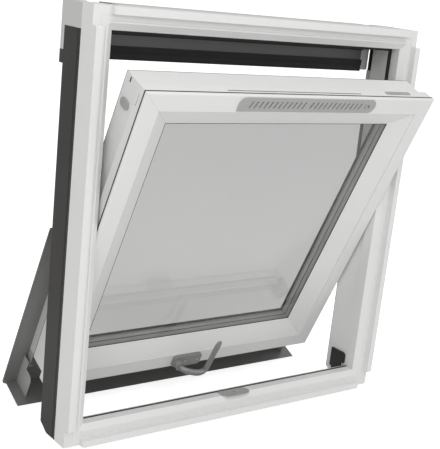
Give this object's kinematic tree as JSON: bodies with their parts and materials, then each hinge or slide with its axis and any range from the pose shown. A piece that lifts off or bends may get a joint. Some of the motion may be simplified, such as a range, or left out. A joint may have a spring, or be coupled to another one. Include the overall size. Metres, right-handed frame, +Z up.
{
  "type": "centre-pivot roof window",
  "caption": "White plastic centre-pivot roof window with its frame, dark outer cladding, double glazing, air inlet and bottom handle, shown open.",
  "frame": {"origin": "middle of the sill's underside, on the plane of the frame corners' room-side faces", "axes": "+X to the right seen from the room, +Y from the room to the weather side, +Z up along the frame"},
  "size_m": [1.14, 0.6082, 1.2061],
  "materials": {
    "white_pvc": "satin white plastic profile",
    "pale_pvc": "matt light grey plastic",
    "grey_trim": "matt mid grey plastic",
    "handle_metal": "satin grey lacquer on cast metal",
    "dark_cladding": "matt dark grey coated aluminium",
    "black_seal": "matt black seal",
    "black_plastic": "matt black plastic",
    "steel": "zinc-plated steel",
    "clear_glass": "clear float glass, faint green",
    "spacer_metal": "dull aluminium section"
  },
  "bodies": {
    "frame": {"frame_head": "white_pvc", "frame_sill": "white_pvc", "frame_jamb_left": "white_pvc", "frame_jamb_right": "white_pvc", "jamb_steel_left": "steel", "jamb_steel_right": "steel", "sill_gasket": "black_seal", "head_gasket": "black_seal", "stop_strip_left": "pale_pvc", "stop_strip_right": "pale_pvc", "stop_gasket_left": "black_seal", "stop_gasket_right": "black_seal", "side_cladding_left": "dark_cladding", "side_cladding_right": "dark_cladding", "cladding_cap_left": "pale_pvc", "cladding_cap_right": "pale_pvc", "cladding_clips": "black_plastic", "head_hood": "dark_cladding", "hood_seal": "black_seal", "sill_cladding": "dark_cladding", "corner_block_left": "black_plastic", "corner_block_right": "black_plastic", "striker_plate": "handle_metal", "hinge_plate_left": "steel", "hinge_plate_right": "steel", "hinge_pin_left": "steel", "hinge_pin_right": "steel", "frame_screws": "steel"},
    "sash": {"sash_top_rail": "white_pvc", "sash_bottom_rail": "white_pvc", "sash_stile_left": "white_pvc", "sash_stile_right": "white_pvc", "glazing_bead_top": "white_pvc", "glazing_bead_bottom": "white_pvc", "glazing_bead_left": "white_pvc", "glazing_bead_right": "white_pvc", "sash_gasket": "black_seal", "glazing_gasket_inner": "black_seal", "glazing_gasket_outer": "black_seal", "inner_pane": "clear_glass", "outer_pane": "clear_glass", "spacer_bar": "spacer_metal", "sash_cladding": "dark_cladding", "hinge_arm_left": "steel", "hinge_arm_right": "steel", "cover_carrier_left": "pale_pvc", "cover_carrier_right": "pale_pvc", "lower_cover_left": "dark_cladding", "lower_cover_right": "dark_cladding", "bottom_cover": "dark_cladding", "end_cap_left": "grey_trim", "end_cap_right": "grey_trim", "inlet_grille": "grey_trim", "handle_base": "handle_metal", "lock_case": "steel", "side_latch": "grey_trim"},
    "handle": {"handle_lever": "handle_metal"},
    "bolt": {"lock_bolt": "steel"},
    "latch": {"latch_bolt": "steel"},
    "slider": {"inlet_slider": "grey_trim"}
  },
  "joints": [
    {"name": "sash_pivot", "type": "hinge", "parent": "frame", "child": "sash", "pos_m": [0, 0.13, 0.66], "axis": [1, 0, 0], "range_deg": [-24.2, 135.8]},
    {"name": "handle_turn", "type": "hinge", "parent": "sash", "child": "handle", "pos_m": [-0.057, 0.23765, 0.09114], "axis": [0, 0.9121, 0.4099], "range_deg": [-90, 0]},
    {"name": "bolt_slide", "type": "slide", "parent": "sash", "child": "bolt", "axis": [0, 0.4099, -0.9121], "range_m": [0, 0.014]},
    {"name": "latch_slide", "type": "slide", "parent": "sash", "child": "latch", "axis": [-1, 0, 0], "range_m": [0, 0.022]},
    {"name": "inlet_slide", "type": "slide", "parent": "sash", "child": "slider", "axis": [1, 0, 0], "range_m": [0, 0.008]}
  ],
  "couplings": [
    {"joint": "bolt_slide", "follows": "handle_turn", "m_per_rad": -0.0089}
  ]
}
